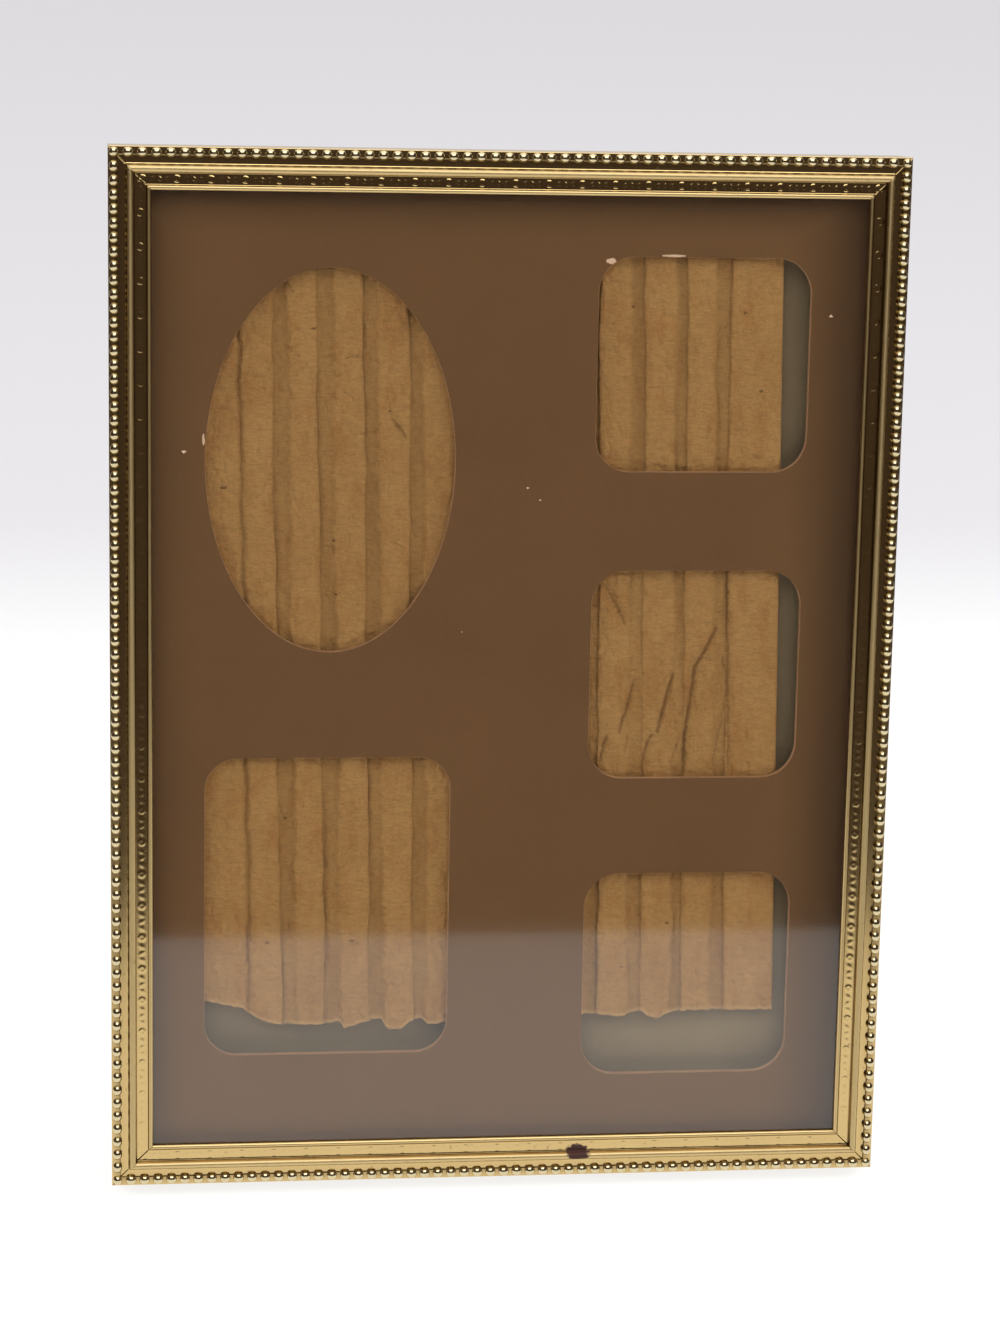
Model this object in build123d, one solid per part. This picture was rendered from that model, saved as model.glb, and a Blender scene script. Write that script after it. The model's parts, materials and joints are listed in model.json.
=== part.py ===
from build123d import *

import math
import os

# A standing collage photo frame: pressed brass rails round a pane of glass, a mat with five
# windows, a torn sheet of corrugated card, a backing card and an easel back with a strut.
# Lengths are in millimetres and angles in degrees.
#
# The pieces are drawn in the panel's own frame: X to the viewer's right, Y from the front to
# the back, Z up, with the glass's front face at Y = 0 and the middle of the pane at X = Z = 0.
# The finished panel is then leaned back on its lower rear edge until the strut's foot stands
# on the table, Z = 0.

# Glass, mat and backing
GLASS_W = 151.6
GLASS_H = 202.4
GLASS_T = 2.0
MAT_T = 1.5
FLUTE_H = 2.6
LINER_T = 0.5
CARD_T = 1.0
BACK_T = 2.4
BACK_CLEAR = 0.8

# Rail face, from the sight edge outwards, with rises forward of the glass
LIP_W = 1.0
LIP_RISE = 0.95
BAND_W = 2.3
BAND_RISE = 0.5
RIDGE_W = 1.5
RIDGE_RISE = 2.0
COVE_W = 1.8
COVE_SAG = 0.4
LEDGE_RISE = 0.35
BEAD_R = 0.95
BEAD_RISE = 1.6
BEAD_PITCH = 2.7
BEAD_OVERHANG = 0.25

# Rail wall, rear lip and corner brackets
WALL_T = 0.8
BRACKET_T = 0.8
BRACKET_LEG = 14.0
BRACKET_D = 7.0
BRACKET_Y = 1.2
GLASS_CLEAR = 0.7
LOAD_CLEAR = 0.2

# Windows of the mat
SIDE_MARGIN = 10.3
LEFT_W = 49.0
LEFT_TOP_MARGIN = 14.5
LEFT_BOTTOM_MARGIN = 17.7
LEFT_GAP = 21.4
OVAL_H = 75.6
TALL_R = 6.5
RIGHT_W = 42.4
RIGHT_TOP_MARGIN = 11.8
RIGHT_BOTTOM_MARGIN = 12.2
RIGHT_GAP = 19.8
SMALL_R = 7.0
SMALL_COUNT = 3

# Corrugated filler: how far its edges lie inside the pane's, and how high its torn edge runs above
# the pane's lower edge, at even steps from right to left
FILLER_LEFT_GAP = 9.8
FILLER_RIGHT_GAP = 20.2
FILLER_TOP_GAP = 9.2
FILLER_TURN = 1.1
TEAR_RISES = (30.5, 30.4, 31.4, 30.5, 29.9, 30.2, 33.2, 36.7)
FLUTE_PITCH = 8.75
FLUTE_LEAD = 1.8
CREST_W = 4.2
VALLEY_W = 2.2
PAPER_T = 0.5

# Turn buttons
BUTTON_T = 0.8
BUTTON_W = 6.0
BUTTON_TAIL = 3.6
BUTTON_INSET = 6.0
BUTTON_SPREAD = 104.0
BUTTON_GAP = 0.1
TIP_CLEAR = 0.35
LIP_GAP = 0.2
FINGER_T = 0.8
FINGER_W = 3.6
FINGER_H = 1.6

# Rivets
RIVET_R = 1.2
RIVET_HEAD_R = 2.2
RIVET_HEAD_T = 0.6
RIVET_FLANGE_R = 2.4
RIVET_FLANGE_T = 0.6
RIVET_CLEAR = 0.05

# Strut and its hinge
LEAN = 13.0
STRUT_OPEN = 20.0
STRUT_T = 2.4
STRUT_TOP_W = 28.0
STRUT_FOOT_W = 50.0
STRUT_GAP = 0.3
HINGE_DROP = 46.3
HINGE_W = 24.0
KNUCKLE_W = 8.0
KNUCKLE_GAP = 0.2
KNUCKLE_WALL = 0.75
KNUCKLE_CLEAR = 0.4
LEAF_T = 0.8
LEAF_H = 14.0
LEAF_RIVET_SPREAD = 14.0
LEAF_RIVET_DROP = 9.0
PIN_R = 0.8
PIN_CLEAR = 0.05
PIN_HEAD_T = 0.6
PIN_HEAD_R = 1.2
STOP_H = 4.6
STOP_T = 0.8
STOP_GAP = 0.05

# Hanging ring and its strap
HANGER_DROP = 16.0
RING_WIRE_R = 0.7
RING_W = 12.0
RING_SIDE = 5.0
RING_CORNER_R = 1.5
RING_CLEAR = 0.08
STRAP_T = 0.6
STRAP_W = 7.0
STRAP_RIVET_DROP = 4.0

# Sizes that follow from those above
RAIL_FACE = LIP_W + BAND_W + RIDGE_W + COVE_W + 2 * BEAD_R - BEAD_OVERHANG
EDGE_GAP = BRACKET_T + GLASS_CLEAR
OUTER_W = GLASS_W + 2 * (EDGE_GAP + WALL_T)
OUTER_H = GLASS_H + 2 * (EDGE_GAP + WALL_T)
SIGHT_W = OUTER_W - 2 * RAIL_FACE
SIGHT_H = OUTER_H - 2 * RAIL_FACE
BACK_W = GLASS_W - 2 * BACK_CLEAR
BACK_H = GLASS_H - 2 * BACK_CLEAR
TALL_H = SIGHT_H - LEFT_TOP_MARGIN - OVAL_H - LEFT_GAP - LEFT_BOTTOM_MARGIN
SMALL_GAPS = (SMALL_COUNT - 1) * RIGHT_GAP
SMALL_H = (SIGHT_H - RIGHT_TOP_MARGIN - RIGHT_BOTTOM_MARGIN - SMALL_GAPS) / SMALL_COUNT
FILLER_LEFT = FILLER_LEFT_GAP - GLASS_W / 2
FILLER_RIGHT = GLASS_W / 2 - FILLER_RIGHT_GAP
FILLER_TOP = GLASS_H / 2 - FILLER_TOP_GAP

MAT_Y = GLASS_T
FLUTE_Y = MAT_Y + MAT_T
LINER_Y = FLUTE_Y + FLUTE_H
CARD_Y = LINER_Y + LINER_T
BACK_Y = CARD_Y + CARD_T
BACK_REAR = BACK_Y + BACK_T
BUTTON_Y = BACK_REAR + BUTTON_GAP
REAR_LIP_Y = BUTTON_Y + BUTTON_T + LIP_GAP
RAIL_REAR = REAR_LIP_Y + WALL_T

BUTTON_X = BACK_W / 2 - BUTTON_INSET
BUTTON_REACH = OUTER_W / 2 - WALL_T - TIP_CLEAR - BUTTON_X

KNUCKLE_R = PIN_R + PIN_CLEAR + KNUCKLE_WALL
HINGE_Y = BACK_REAR + STRUT_GAP + KNUCKLE_R
HINGE_Z = BACK_H / 2 - HINGE_DROP
STRUT_FRONT = BACK_REAR + STRUT_GAP - HINGE_Y
STRUT_REAR = STRUT_FRONT + STRUT_T
STRUT_TOP = -KNUCKLE_R - KNUCKLE_CLEAR

LOOP_BORE = RING_WIRE_R + RING_CLEAR
LOOP_R = LOOP_BORE + STRAP_T
RING_Y = BACK_REAR + LOOP_R
RING_Z = BACK_H / 2 - HANGER_DROP

# Reach of a cutting block past what it cuts
OVERCUT = 2.0


def block(x, y, z):
    """A box from three (low, high) spans."""
    size = [high - low for low, high in (x, y, z)]
    middle = [(high + low) / 2 for low, high in (x, y, z)]
    return Pos(*middle) * Box(*size)


def plate(outline, y_low, y_high):
    """A sheet of the given X-Z outline between two depths."""
    return extrude(Plane.XZ.offset(-y_low) * outline, amount=y_low - y_high)


def rod_back(x, z, radius, y_low, y_high):
    """A round bar that runs from front to back."""
    return Pos(x, 0, z) * plate(Circle(radius), y_low, y_high)


def rod_across(y, z, radius, x_low, x_high):
    """A round bar that runs from left to right."""
    return Pos((x_low + x_high) / 2, y, z) * Rot(Y=90) * Cylinder(radius, x_high - x_low)


def outline_of(points):
    """A flat outline with straight sides."""
    return make_face(Polyline(*points, close=True))


def rail_section():
    """Section of a rail: across the face from the sight edge, and forward of the glass."""
    band = LIP_W + BAND_W
    ridge = band + RIDGE_W
    ledge = ridge + COVE_W
    ridge_r = RIDGE_W / 2
    shoulder = RIDGE_RISE - ridge_r
    wall = RAIL_FACE - WALL_T
    opening = wall - EDGE_GAP + LOAD_CLEAR
    front = [
        Line((0, 0), (0, BAND_RISE)),
        ThreePointArc((0, BAND_RISE), (LIP_W / 2, LIP_RISE), (LIP_W, BAND_RISE)),
        Polyline((LIP_W, BAND_RISE), (band, BAND_RISE), (band, shoulder)),
        ThreePointArc((band, shoulder), (band + ridge_r, RIDGE_RISE), (ridge, shoulder)),
        SagittaArc((ridge, shoulder), (ledge, LEDGE_RISE), COVE_SAG),
    ]
    back = Polyline(
        (ledge, LEDGE_RISE),
        (RAIL_FACE, LEDGE_RISE),
        (RAIL_FACE, -RAIL_REAR),
        (opening, -RAIL_REAR),
        (opening, -REAR_LIP_Y),
        (wall, -REAR_LIP_Y),
        (wall, 0),
        (0, 0),
    )
    return make_face(front + [back])


def rail(outer_length, sight_length, sight_distance):
    """The lower rail of a frame with these sides, mitred at both ends, with its row of beads."""
    across = Plane(origin=(outer_length / 2, 0, -sight_distance), x_dir=(0, 0, -1), z_dir=(-1, 0, 0))
    bar = extrude(across * rail_section(), amount=outer_length)
    inset = BEAD_R - BEAD_OVERHANG
    run = outer_length - 2 * inset
    gaps = round(run / BEAD_PITCH)
    bead_z = inset - sight_distance - RAIL_FACE
    beads = [
        Pos(run * (step / gaps - 0.5), BEAD_R - BEAD_RISE, bead_z) * Sphere(BEAD_R)
        for step in range(gaps + 1)
    ]
    inner = (sight_length / 2 - OVERCUT, -sight_distance + OVERCUT)
    outer = (outer_length / 2 + OVERCUT, -sight_distance - RAIL_FACE - OVERCUT)
    mitred = outline_of([(-inner[0], inner[1]), (-outer[0], outer[1]), outer, inner])
    return (bar + beads) & plate(mitred, -RIDGE_RISE - OVERCUT, RAIL_REAR + OVERCUT)


def corner_bracket(side, level):
    """A bent strip inside the walls of one corner; side and level are -1 or 1."""
    x_out = OUTER_W / 2 - WALL_T
    z_out = OUTER_H / 2 - WALL_T
    depth = (BRACKET_Y, BRACKET_Y + BRACKET_D)
    upright = block((x_out - BRACKET_T, x_out), depth, (z_out - BRACKET_LEG, z_out))
    flat = block((x_out - BRACKET_LEG, x_out), depth, (z_out - BRACKET_T, z_out))
    bracket = upright + flat
    if side < 0:
        bracket = mirror(bracket, Plane.YZ)
    if level < 0:
        bracket = mirror(bracket, Plane.XY)
    return bracket


def mat_windows():
    """Outlines of the oval, the tall window and the column of small windows."""
    left_x = -SIGHT_W / 2 + SIDE_MARGIN + LEFT_W / 2
    right_x = SIGHT_W / 2 - SIDE_MARGIN - RIGHT_W / 2
    oval_z = SIGHT_H / 2 - LEFT_TOP_MARGIN - OVAL_H / 2
    tall_z = oval_z - OVAL_H / 2 - LEFT_GAP - TALL_H / 2
    windows = [
        Pos(left_x, oval_z) * Ellipse(LEFT_W / 2, OVAL_H / 2),
        Pos(left_x, tall_z) * RectangleRounded(LEFT_W, TALL_H, TALL_R),
    ]
    for row in range(SMALL_COUNT):
        small_z = SIGHT_H / 2 - RIGHT_TOP_MARGIN - SMALL_H / 2 - row * (SMALL_H + RIGHT_GAP)
        windows.append(Pos(right_x, small_z) * RectangleRounded(RIGHT_W, SMALL_H, SMALL_R))
    return windows


def mat_board():
    """The mat, as large as the glass, with its five windows."""
    return plate(Rectangle(GLASS_W, GLASS_H) - mat_windows(), MAT_Y, MAT_Y + MAT_T)


def filler_outline():
    """Outline of the corrugated sheet, straight on three sides and torn along the bottom."""
    step = (FILLER_RIGHT - FILLER_LEFT) / (len(TEAR_RISES) - 1)
    tear = [(FILLER_RIGHT - place * step, rise - GLASS_H / 2) for place, rise in enumerate(TEAR_RISES)]
    return outline_of([(FILLER_LEFT, FILLER_TOP), (FILLER_RIGHT, FILLER_TOP), *tear])


def filler_flutes():
    """The fluted paper: a trapezoid wave whose crests meet the mat and whose valleys meet the liner."""
    slope = (FLUTE_PITCH - CREST_W - VALLEY_W) / 2
    steps = ((0, 0), (CREST_W, 0), (CREST_W + slope, 1), (CREST_W + slope + VALLEY_W, 1))
    first = FILLER_LEFT - FLUTE_LEAD
    waves = math.ceil((FILLER_RIGHT - first) / FLUTE_PITCH) + 1
    drop = FLUTE_H - PAPER_T
    front = [
        (first + wave * FLUTE_PITCH + x, FLUTE_Y + low * drop)
        for wave in range(waves)
        for x, low in steps
    ]
    rear = [(x, y + PAPER_T) for x, y in reversed(front)]
    lowest = min(TEAR_RISES) - GLASS_H / 2 - OVERCUT
    wave_sheet = Pos(0, 0, lowest) * extrude(outline_of(front + rear), amount=FILLER_TOP + OVERCUT - lowest)
    cut = plate(filler_outline(), FLUTE_Y - OVERCUT, LINER_Y + OVERCUT)
    return Rot(Y=-FILLER_TURN) * (wave_sheet & cut)


def filler_liner():
    """The flat paper behind the flutes."""
    return Rot(Y=-FILLER_TURN) * plate(filler_outline(), LINER_Y, CARD_Y)


def rivet(x, z, front, rear):
    """A rivet whose flange is sunk in the front face and whose head lies on the rear face."""
    shank = rod_back(x, z, RIVET_R, front, rear + RIVET_HEAD_T)
    flange = rod_back(x, z, RIVET_FLANGE_R, front, front + RIVET_FLANGE_T)
    head = rod_back(x, z, RIVET_HEAD_R, rear, rear + RIVET_HEAD_T)
    return fillet((shank + flange + head).edges().sort_by(Axis.Y)[-1], RIVET_HEAD_T / 2)


def rivet_hole(x, z, front, rear):
    """The hole and the sunk seat that a rivet needs in a board."""
    bore = rod_back(x, z, RIVET_R + RIVET_CLEAR, front - OVERCUT, rear + OVERCUT)
    seat = rod_back(x, z, RIVET_FLANGE_R + RIVET_CLEAR, front - OVERCUT, front + RIVET_FLANGE_T)
    return bore + seat


BUTTON_PLACES = {
    "upper_left": (-BUTTON_X, BUTTON_SPREAD / 2),
    "upper_right": (BUTTON_X, BUTTON_SPREAD / 2),
    "lower_left": (-BUTTON_X, -BUTTON_SPREAD / 2),
    "lower_right": (BUTTON_X, -BUTTON_SPREAD / 2),
}
LEAF_RIVET_PLACES = [(side * LEAF_RIVET_SPREAD / 2, LEAF_RIVET_DROP) for side in (-1, 1)]
BACK_RIVET_PLACES = [(x, HINGE_Z + z) for x, z in LEAF_RIVET_PLACES]
STRUT_RIVET_PLACES = [(x, -z) for x, z in LEAF_RIVET_PLACES]
STRAP_RIVET_PLACE = (0, RING_Z - STRAP_RIVET_DROP)


def easel_back():
    """The rear board, with a seat for each rivet that it carries."""
    board = plate(Rectangle(BACK_W, BACK_H), BACK_Y, BACK_REAR)
    places = [*BUTTON_PLACES.values(), *BACK_RIVET_PLACES, STRAP_RIVET_PLACE]
    return board - [rivet_hole(x, z, BACK_Y, BACK_REAR) for x, z in places]


def turn_button(x, z):
    """A button on the rear board whose round tip reaches under the rail's rear lip."""
    middle = (BUTTON_REACH - BUTTON_TAIL) / 2
    outline = Pos(middle, 0) * SlotOverall(BUTTON_REACH + BUTTON_TAIL, BUTTON_W)
    outline -= Circle(RIVET_R + RIVET_CLEAR)
    rear = BUTTON_Y + BUTTON_T
    finger = block(
        (-BUTTON_TAIL, FINGER_T - BUTTON_TAIL),
        (BUTTON_Y, rear + FINGER_H),
        (-FINGER_W / 2, FINGER_W / 2),
    )
    button = plate(outline, BUTTON_Y, rear) + finger
    turn = 180 if x < 0 else 0
    return Pos(x, 0, z) * Rot(Y=turn) * button


def hinge_fixed_leaf():
    """The leaf on the rear board, with a barrel on each side, drawn about the hinge axis."""
    base = BACK_REAR - HINGE_Y
    half = HINGE_W / 2
    inner = KNUCKLE_W / 2 + KNUCKLE_GAP
    leaf = block((-half, half), (base, base + LEAF_T), (0, LEAF_H))
    for low, high in ((-half, -inner), (inner, half)):
        leaf += block((low, high), (base, 0), (0, KNUCKLE_R))
        leaf += rod_across(0, 0, KNUCKLE_R, low, high)
    leaf -= rod_across(0, 0, PIN_R, -half - OVERCUT, half + OVERCUT)
    room = KNUCKLE_R + KNUCKLE_CLEAR
    leaf -= block((-inner, inner), (base - OVERCUT, room), (-room, room))
    for x, z in LEAF_RIVET_PLACES:
        leaf -= rod_back(x, z, RIVET_R + RIVET_CLEAR, base - OVERCUT, room)
    return leaf


def hinge_moving_leaf():
    """The leaf on the strut's rear face, with the middle barrel, drawn with the strut hanging down."""
    half = HINGE_W / 2
    inner = KNUCKLE_W / 2
    rear = STRUT_REAR + LEAF_T
    leaf = block((-half, half), (STRUT_REAR, rear), (STRUT_TOP - LEAF_H, STRUT_TOP))
    leaf += block((-inner, inner), (STRUT_REAR, rear), (STRUT_TOP - LEAF_T, 0))
    leaf += block((-inner, inner), (0, rear), (-KNUCKLE_R, 0))
    leaf += rod_across(0, 0, KNUCKLE_R, -inner, inner)
    stop_front = BACK_REAR + LEAF_T + STOP_GAP - HINGE_Y
    stop = block((-inner, inner), (stop_front, stop_front + STOP_T), (0, STOP_H))
    leaf += Rot(X=-STRUT_OPEN) * stop
    leaf -= rod_across(0, 0, PIN_R + PIN_CLEAR, -half, half)
    for x, z in STRUT_RIVET_PLACES:
        leaf -= rod_back(x, z, RIVET_R + RIVET_CLEAR, STRUT_REAR - OVERCUT, rear + OVERCUT)
    return leaf


def hinge_pin():
    """The hinge's pin, headed over at both ends."""
    half = HINGE_W / 2
    pin = rod_across(0, 0, PIN_R, -half - PIN_HEAD_T, half + PIN_HEAD_T)
    pin += rod_across(0, 0, PIN_HEAD_R, half, half + PIN_HEAD_T)
    pin += rod_across(0, 0, PIN_HEAD_R, -half - PIN_HEAD_T, -half)
    return pin


def easel_strut(length):
    """The tapered strut, hanging down from the hinge axis."""
    top = STRUT_TOP_W / 2
    foot = STRUT_FOOT_W / 2
    outline = outline_of([(-top, STRUT_TOP), (top, STRUT_TOP), (foot, -length), (-foot, -length)])
    board = plate(outline, STRUT_FRONT, STRUT_REAR)
    return board - [rivet_hole(x, z, STRUT_FRONT, STRUT_REAR) for x, z in STRUT_RIVET_PLACES]


def hanger_strap():
    """The strap on the rear board that loops round the ring's straight side."""
    rivet_z = STRAP_RIVET_DROP
    half = STRAP_W / 2
    tongue = Pos(0, -rivet_z / 2) * Rectangle(STRAP_W, rivet_z) + Pos(0, -rivet_z) * Circle(half)
    tongue -= Pos(0, -rivet_z) * Circle(RIVET_R + RIVET_CLEAR)
    strap = plate(tongue, -LOOP_R, STRAP_T - LOOP_R)
    strap += rod_across(0, 0, LOOP_R, -half, half)
    return strap - rod_across(0, 0, LOOP_BORE, -half - OVERCUT, half + OVERCUT)


def hanger_ring():
    """The wire ring, hanging down from its straight side."""
    half = RING_W / 2
    corner = RING_CORNER_R
    path = Wire([
        Line((corner - half, 0), (half - corner, 0)),
        RadiusArc((half - corner, 0), (half, -corner), corner),
        Line((half, -corner), (half, -RING_SIDE)),
        RadiusArc((half, -RING_SIDE), (-half, -RING_SIDE), half),
        Line((-half, -RING_SIDE), (-half, -corner)),
        RadiusArc((-half, -corner), (corner - half, 0), corner),
    ])
    wire = Plane.XZ * path
    section = Plane(origin=wire @ 0, z_dir=wire % 0) * Circle(RING_WIRE_R)
    return sweep(section, path=wire)


def placed():
    """Every piece by name, standing on the table with the middle of its box over the origin."""
    stand = Rot(X=-LEAN) * Pos(0, -RAIL_REAR, OUTER_H / 2)
    hinge = stand * Pos(0, HINGE_Y, HINGE_Z)
    strut = hinge * Rot(X=STRUT_OPEN)
    ring = stand * Pos(0, RING_Y, RING_Z)
    strut_length = hinge.position.Z / math.cos(math.radians(STRUT_OPEN - LEAN))

    lower = rail(OUTER_W, SIGHT_W, SIGHT_H / 2)
    side = rail(OUTER_H, SIGHT_H, SIGHT_W / 2)
    pieces = {
        "rail_bottom": stand * lower,
        "rail_left": stand * Rot(Y=90) * side,
        "rail_top": stand * Rot(Y=180) * lower,
        "rail_right": stand * Rot(Y=270) * side,
        "glass_pane": stand * plate(Rectangle(GLASS_W, GLASS_H), 0, GLASS_T),
        "mat_board": stand * mat_board(),
        "filler_flutes": stand * filler_flutes(),
        "filler_liner": stand * filler_liner(),
        "backing_card": stand * plate(Rectangle(GLASS_W, GLASS_H), CARD_Y, BACK_Y),
        "easel_back": stand * easel_back(),
        "hinge_fixed_leaf": hinge * hinge_fixed_leaf(),
        "hinge_moving_leaf": strut * hinge_moving_leaf(),
        "hinge_pin": hinge * hinge_pin(),
        "hanger_strap": ring * hanger_strap(),
        "hanger_ring": ring * Rot(X=LEAN) * hanger_ring(),
    }
    for level_name, level in (("bottom", -1), ("top", 1)):
        for side_name, side_sign in (("left", -1), ("right", 1)):
            name = f"corner_bracket_{level_name}_{side_name}"
            pieces[name] = stand * corner_bracket(side_sign, level)
    for name, (x, z) in BUTTON_PLACES.items():
        pieces[f"turn_button_{name}"] = stand * turn_button(x, z)

    button_rear = BUTTON_Y + BUTTON_T + BUTTON_GAP
    button_rivets = [rivet(x, z, BACK_Y, button_rear) for x, z in BUTTON_PLACES.values()]
    pieces["turn_button_rivets"] = stand * Compound(button_rivets)
    back_rivets = [rivet(x, z, BACK_Y, BACK_REAR + LEAF_T) for x, z in BACK_RIVET_PLACES]
    pieces["hinge_back_rivets"] = stand * Compound(back_rivets)
    strut_rivets = [rivet(x, z, STRUT_FRONT, STRUT_REAR + LEAF_T) for x, z in STRUT_RIVET_PLACES]
    pieces["hinge_strut_rivets"] = strut * Compound(strut_rivets)
    pieces["hanger_strap_rivet"] = stand * rivet(*STRAP_RIVET_PLACE, BACK_Y, BACK_REAR + STRAP_T)

    table = block((-OUTER_W, OUTER_W), (-OUTER_H, OUTER_H), (-OUTER_H, 0))
    pieces["easel_strut"] = strut * easel_strut(strut_length + STRUT_T + OVERCUT) - table
    foot = pieces["easel_strut"].faces().sort_by(Axis.Z)[0].center()

    box = Compound(list(pieces.values())).bounding_box()
    centring = Pos(0, -box.center().Y, 0)
    marks = {
        "strut hinge": centring * hinge,
        "ring hinge": centring * ring,
        "bottom rail": centring * stand * Pos(0, RAIL_REAR / 2, -OUTER_H / 2),
        "strut foot": centring * Pos(foot),
    }
    for name, (x, z) in BUTTON_PLACES.items():
        marks[f"button {name}"] = centring * stand * Pos(x, BUTTON_Y, z)
    return {name: centring * piece for name, piece in pieces.items()}, marks


def main():
    os.makedirs("parts", exist_ok=True)
    pieces, marks = placed()
    for name, piece in pieces.items():
        export_step(piece, f"parts/{name}.step")
    for name, mark in marks.items():
        print(name, [round(value, 4) for value in mark.position])
    print("sight", SIGHT_W, SIGHT_H, "outer", OUTER_W, OUTER_H, "depth", RIDGE_RISE + RAIL_REAR)


main()
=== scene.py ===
import json
import math

import bmesh
import bpy
import numpy as np
from mathutils import Matrix, Vector, noise


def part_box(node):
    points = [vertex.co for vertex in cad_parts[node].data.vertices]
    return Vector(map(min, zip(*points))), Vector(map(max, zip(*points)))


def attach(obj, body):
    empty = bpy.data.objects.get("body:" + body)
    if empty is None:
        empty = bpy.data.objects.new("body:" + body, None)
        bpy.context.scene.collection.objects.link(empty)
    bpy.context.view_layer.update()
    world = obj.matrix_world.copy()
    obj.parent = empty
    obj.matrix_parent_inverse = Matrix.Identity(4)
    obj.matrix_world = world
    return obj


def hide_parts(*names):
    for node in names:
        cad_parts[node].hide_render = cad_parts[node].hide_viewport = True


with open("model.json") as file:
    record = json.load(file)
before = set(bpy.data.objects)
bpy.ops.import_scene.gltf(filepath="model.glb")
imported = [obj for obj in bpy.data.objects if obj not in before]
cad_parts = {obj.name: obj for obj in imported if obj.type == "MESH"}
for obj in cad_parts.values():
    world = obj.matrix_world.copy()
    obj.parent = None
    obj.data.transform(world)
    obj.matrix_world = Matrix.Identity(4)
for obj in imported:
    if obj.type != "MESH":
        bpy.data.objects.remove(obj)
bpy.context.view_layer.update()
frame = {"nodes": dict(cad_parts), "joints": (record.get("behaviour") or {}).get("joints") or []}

# Looks of a standing collage photo frame: pressed brass rails, glass, a mat with five windows, torn
# corrugated card behind them, and an easel back. Pieces are drawn in the panel's millimetres: X to
# the viewer's right, Y from the front to the back, Z up, from the middle of the glass's front face.
MM = 0.001

# Rail section, from the sight edge outwards, with rises forward of the glass: a lip, a sunk band, a
# ridge, a cove with a flat floor, and a strip under the beads
LIP_W = 1.0
LIP_RISE = 0.95
BAND_W = 2.3
BAND_RISE = 0.5
RIDGE_W = 1.5
RIDGE_RISE = 2.0
COVE_W = 1.8
COVE_ROUND = 0.35
FLOOR_RISE = 0.35
STRIP_RISE = 0.85
WALL_T = 0.8
REAR_LIP_W = 2.1
LIP_STEPS = 8
BAND_STEPS = 15
RIDGE_STEPS = 13
COVE_STEPS = 6
RAIL_STEP = 0.25

# Row of beads along the rails, drawn longer and flatter than balls and set in from the outer edge
BEAD_R = 0.95
BEAD_RISE = 1.6
BEAD_PITCH = 2.7
BEAD_OVERHANG = 0.25
BEAD_RINGS = 9
BEAD_SEGMENTS = 14
BEAD_LONG = 1.15
BEAD_DEEP = 0.75
BEAD_SET_IN = 0.4

# How dull the beads are and how gritty at their feet, and how far the rails' edges are worn
BEAD_RUBBED = 0.25
BEAD_GRIT = 0.3
EDGE_WORN = 0.25

# Pressed pattern in the rails' band: a rosette and three leaves in each repeat, crisper high up
REPEAT = 6.5
ROSETTE_R = 0.5
ROSETTE_LINE = 0.2
ROSETTE_RISE = 0.03
LEAF_PLACES = (1.9, 3.25, 4.6)
LEAF_LONG = 0.62
LEAF_WIDE = 0.34
LEAF_RISE = 0.035
LEAF_TILT = math.radians(38)
LEAF_RIB_W = 0.1
LEAF_RIB_DEEP = 0.35
PATTERN_EDGE = 0.25
PRESSED_LOW = 0.8
PRESSED_HIGH = 3.6

# Windows of the mat
SIDE_MARGIN = 10.3
LEFT_W = 49.0
LEFT_TOP_MARGIN = 14.5
LEFT_BOTTOM_MARGIN = 17.7
LEFT_GAP = 21.4
OVAL_H = 75.6
TALL_R = 6.5
RIGHT_W = 42.4
RIGHT_TOP_MARGIN = 11.8
RIGHT_BOTTOM_MARGIN = 12.2
RIGHT_GAP = 19.8
SMALL_R = 7.0
SMALL_COUNT = 3
OVAL_STEPS = 120
CORNER_STEPS = 12
MAT_SOFT = 0.12
MAT_AIR = 0.06

# How far the painted shade of the rails reaches onto the mat's paper along its left, right and top
# edges
RAIL_SHADE_LEFT = 5
RAIL_SHADE_RIGHT = 16
RAIL_SHADE_TOP = 9

# Places on the mat where its brown paper is chipped off: X, Z and half sizes
MAT_CHIPS = ((19.4, 82.6, 1.0, 0.6), (31.8, 83.75, 2.3, 0.3), (-59.85, 47.2, 0.28, 1.2))

# Corrugated filler, whose sheet is turned a little in the frame
FILLER_LEFT_GAP = 9.8
FILLER_RIGHT_GAP = 20.2
FILLER_TOP_GAP = 9.2
FILLER_TURN = math.radians(1.1)
STEEP_W = 0.3
GENTLE_W = 0.9
SLOPE_LINES = 4
CREST_STEP = 0.66
FLUTE_DROP = 0.75
FLUTE_ROWS = 170
PAPER_T = 0.5
LINER_COLUMNS = 290
LINER_ROWS = 8
LINER_SHORT = 0.8

# Torn lower edge of the filler, from left to right in its own X and Z
TEAR_LEFT = ((-66, -64.5), (-60, -65.5), (-53, -67.3), (-49.3, -69.9), (-46.7, -70.8))
TEAR_TEETH = ((-37.3, -71.2), (-33.6, -70.9), (-32.8, -72.3), (-28.4, -70.9), (-25.1, -70.5))
TEAR_NOTCH = ((-24, -72.6), (-21.5, -72.9), (-18.5, -70.8), (-16.3, -70.9), (-15.5, -72))
TEAR_MIDDLE = ((0, -70.6), (19.9, -71.2), (23.8, -71.9), (28.6, -70.7))
TEAR_RIGHT = ((30, -72.1), (31.7, -72.6), (33.9, -71.5), (37.4, -71), (55.6, -71.5))
TEAR = TEAR_LEFT + TEAR_TEETH + TEAR_NOTCH + TEAR_MIDDLE + TEAR_RIGHT
TEAR_RAGGED = 0.22
TEAR_PALE = 0.9

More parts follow.
